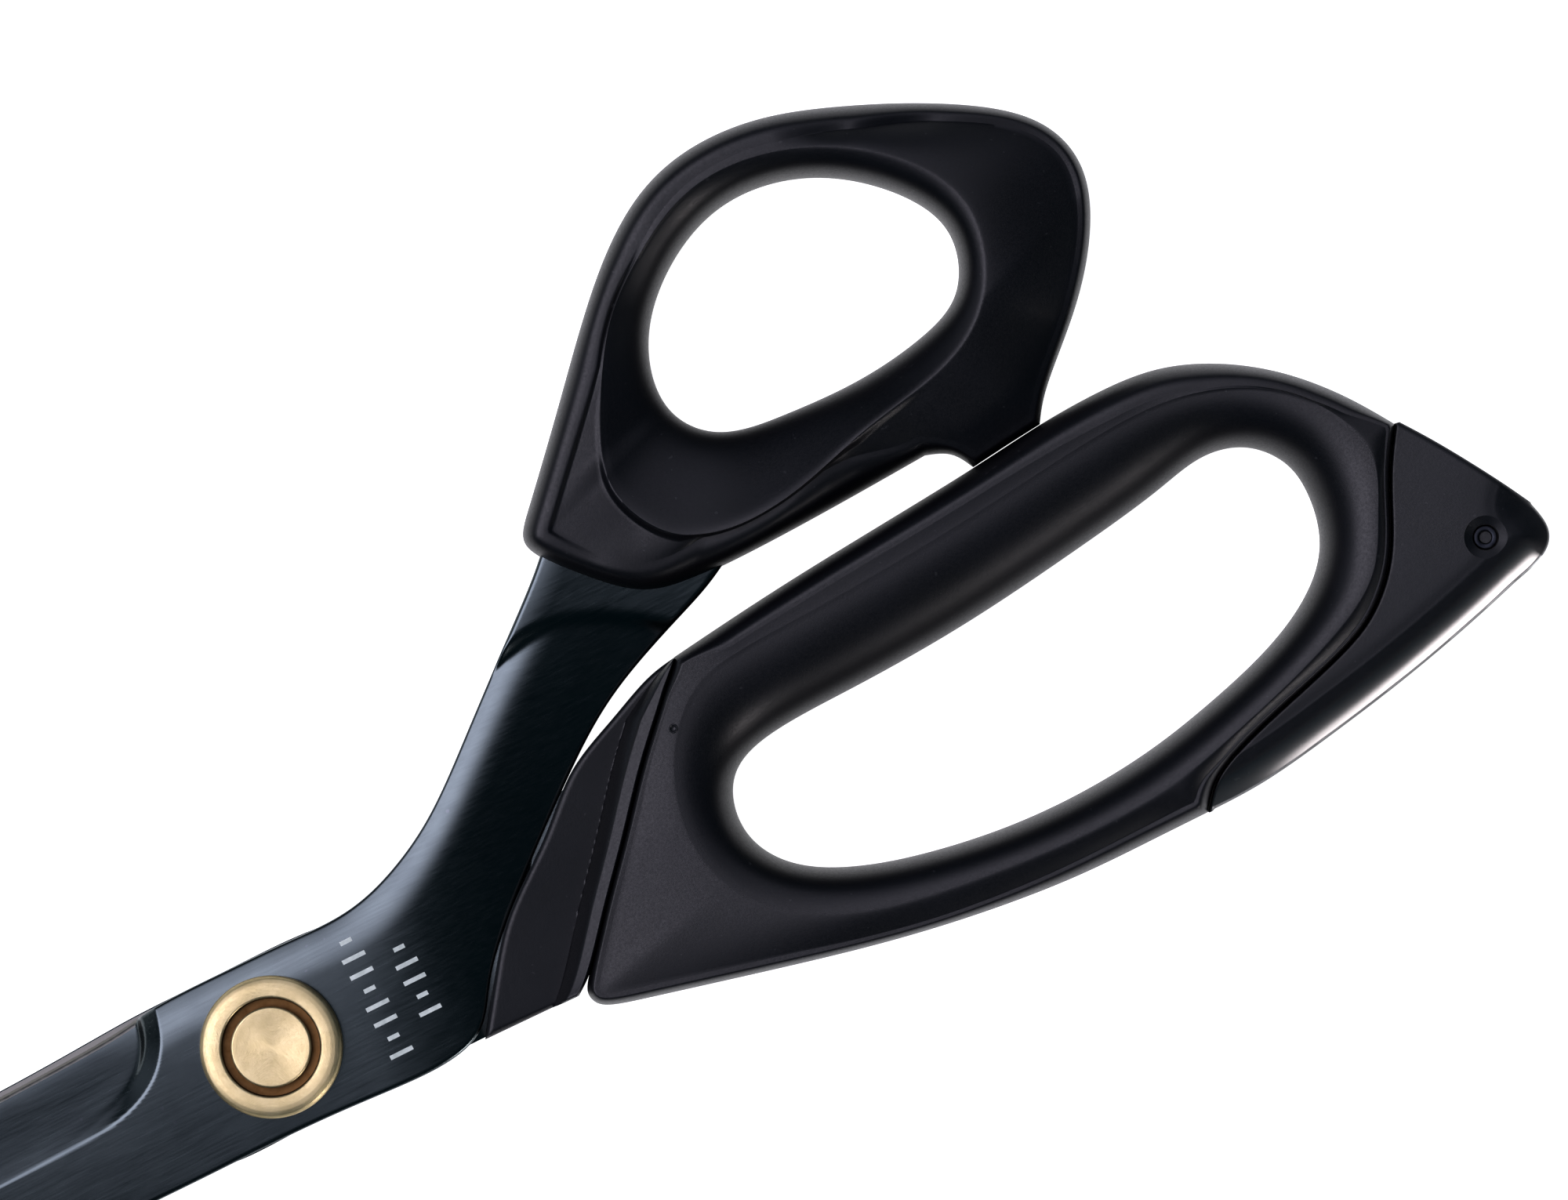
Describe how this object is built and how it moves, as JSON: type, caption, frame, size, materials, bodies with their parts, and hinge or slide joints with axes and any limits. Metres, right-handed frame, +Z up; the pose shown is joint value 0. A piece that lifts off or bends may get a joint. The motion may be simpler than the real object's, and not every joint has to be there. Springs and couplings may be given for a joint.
{
  "type": "fabric shears",
  "caption": "Bent-handle fabric shears with coated blades on a brass pivot, a round thumb bow, a long finger bow and a pointed tail, lying closed on one side.",
  "frame": {"origin": "middle of the bounding box, on the table under the closed shears, which lie on one side", "axes": "+X along the closed blades from the tips to the tail, +Y towards the thumb bow, +Z up, towards the side with the brass pivot screw"},
  "size_m": [0.2292, 0.0758, 0.016],
  "materials": {
    "blade_coating": "satin black fluorine-type coating on forged steel",
    "grip_plastic": "black, finely textured, semi-matte moulding",
    "core_plastic": "black hard plastic, finely textured",
    "pivot_brass": "turned brass, concentric marks",
    "bush_bronze": "sintered bronze",
    "washer_plastic": "white low-friction plastic",
    "spring_steel": "bright spring steel",
    "pin_metal": "blackened steel"
  },
  "bodies": {
    "finger_half": {"finger_blade": "blade_coating", "finger_core": "core_plastic", "finger_grip": "grip_plastic", "tail_cap": "core_plastic", "tail_pin": "pin_metal", "pivot_bush": "bush_bronze", "blade_washer": "washer_plastic", "spring_washer": "spring_steel"},
    "thumb_half": {"thumb_blade": "blade_coating", "thumb_core": "core_plastic", "thumb_grip": "grip_plastic", "pivot_screw": "pivot_brass", "pivot_bezel": "pivot_brass"},
    "nut": {"tension_nut": "pivot_brass"}
  },
  "joints": [
    {"name": "blade_pivot", "type": "hinge", "parent": "finger_half", "child": "thumb_half", "pos_m": [-0.011, -0.0188, 0.008], "axis": [0, 0, 1], "range_deg": [0, 75]},
    {"name": "nut_turn", "type": "hinge", "parent": "thumb_half", "child": "nut", "pos_m": [-0.011, -0.0188, 0.002], "axis": [0, 0, 1], "range_deg": [-45, 45]}
  ]
}
